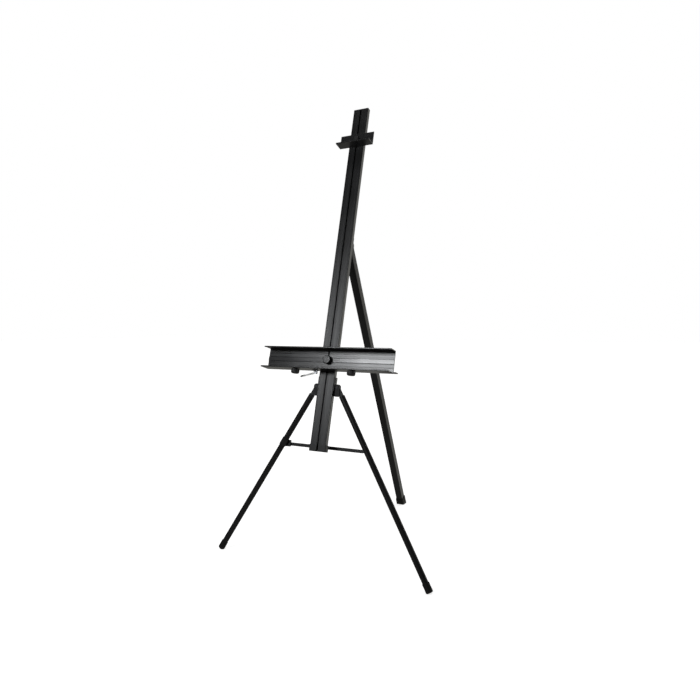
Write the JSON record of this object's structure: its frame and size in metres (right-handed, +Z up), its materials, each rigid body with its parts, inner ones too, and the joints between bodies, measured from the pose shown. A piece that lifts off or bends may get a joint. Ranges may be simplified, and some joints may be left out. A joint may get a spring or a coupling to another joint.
{
  "type": "tripod field easel",
  "caption": "Folding tripod easel: a slotted mast with a sliding channel tray and top canvas holder, splayed front legs joined by a spreader, and a hinged rear leg.",
  "frame": {"origin": "on the floor, under the middle of the standing easel's bounding box", "axes": "+Z up, -Y towards the painter, +X to the painter's right"},
  "size_m": [0.8458, 0.8555, 1.6996],
  "materials": {
    "black_aluminium": "satin",
    "satin_aluminium": "satin",
    "black_steel": "satin",
    "dark_fasteners": "satin",
    "zinc_steel": "satin",
    "bright_steel": "bright",
    "black_plastic": "matte",
    "gloss_plastic": "gloss",
    "black_rubber": "matte"
  },
  "bodies": {
    "mast": {"mast": "black_aluminium", "mast_end_cap": "black_plastic", "mast_top_cap": "black_plastic", "leg_bracket_left": "black_steel", "leg_bracket_right": "black_steel", "leg_bracket_rivets": "dark_fasteners", "leg_pivot_pins": "dark_fasteners", "rear_bracket": "black_steel", "rear_bracket_rivets": "dark_fasteners", "rear_pivot_pin": "dark_fasteners"},
    "left_leg": {"left_leg_tongue": "black_plastic", "left_leg_tube": "black_aluminium", "left_leg_foot": "black_rubber", "spreader_lug": "black_steel", "spreader_pin": "dark_fasteners"},
    "right_leg": {"right_leg_tongue": "black_plastic", "right_leg_tube": "black_aluminium", "right_leg_foot": "black_rubber", "spreader_stud": "dark_fasteners"},
    "spreader": {"spreader_bar": "black_aluminium"},
    "rear_leg": {"rear_leg_tube": "black_aluminium", "rear_leg_foot": "black_rubber"},
    "tray": {"tray": "satin_aluminium", "tray_shoe": "dark_fasteners", "tray_washer": "zinc_steel", "ledge_nuts": "zinc_steel", "lever_bracket": "zinc_steel", "lever_screws": "zinc_steel", "lever_pin": "zinc_steel"},
    "tray_knob": {"tray_knob": "gloss_plastic", "tray_bolt": "dark_fasteners"},
    "ledge_knob_left": {"ledge_knob_left": "black_plastic", "ledge_screw_left": "zinc_steel"},
    "ledge_knob_right": {"ledge_knob_right": "black_plastic", "ledge_screw_right": "zinc_steel"},
    "tray_lever": {"tray_lever": "bright_steel"},
    "holder": {"holder": "black_aluminium", "holder_shoe": "dark_fasteners"},
    "holder_knob": {"holder_knob": "black_plastic"}
  },
  "joints": [
    {"name": "left_leg_fold", "type": "hinge", "parent": "mast", "child": "left_leg", "pos_m": [-0.042, -0.33033, 0.6291], "axis": [0, -0.9907, 0.1357], "range_deg": [0, 30.5]},
    {"name": "right_leg_fold", "type": "hinge", "parent": "mast", "child": "right_leg", "pos_m": [0.042, -0.33033, 0.6291], "axis": [0, 0.9907, -0.1357], "range_deg": [0, 30.5]},
    {"name": "spreader_swing", "type": "hinge", "parent": "left_leg", "child": "spreader", "pos_m": [-0.1519, -0.34579, 0.41307], "axis": [0, -0.9636, 0.2672], "range_deg": [0, 60]},
    {"name": "rear_leg_fold", "type": "hinge", "parent": "mast", "child": "rear_leg", "pos_m": [0, -0.16343, 1.15046], "axis": [-1, 0, 0], "range_deg": [0, 38]},
    {"name": "tray_slide", "type": "slide", "parent": "mast", "child": "tray", "axis": [0, 0.2672, 0.9636], "range_m": [-0.25, 0.78]},
    {"name": "tray_knob_turn", "type": "hinge", "parent": "tray", "child": "tray_knob", "pos_m": [0, -0.32957, 0.7254], "axis": [0, -0.9636, 0.2672], "range_deg": [0, 360]},
    {"name": "ledge_knob_left_turn", "type": "hinge", "parent": "tray", "child": "ledge_knob_left", "pos_m": [-0.112, -0.36606, 0.68363], "axis": [0, -0.2672, -0.9636], "range_deg": [0, 360]},
    {"name": "ledge_knob_right_turn", "type": "hinge", "parent": "tray", "child": "ledge_knob_right", "pos_m": [0.112, -0.36606, 0.68363], "axis": [0, -0.2672, -0.9636], "range_deg": [0, 360]},
    {"name": "tray_lever_turn", "type": "hinge", "parent": "tray", "child": "tray_lever", "pos_m": [-0.041, -0.33827, 0.67904], "axis": [0, -0.9636, 0.2672], "range_deg": [-10, 78]},
    {"name": "holder_slide", "type": "slide", "parent": "mast", "child": "holder", "axis": [0, 0.2672, 0.9636], "range_m": [-0.78, 0.1]},
    {"name": "holder_knob_turn", "type": "hinge", "parent": "holder", "child": "holder_knob", "pos_m": [0, -0.09054, 1.57232], "axis": [0, -0.9636, 0.2672], "range_deg": [0, 360]}
  ]
}
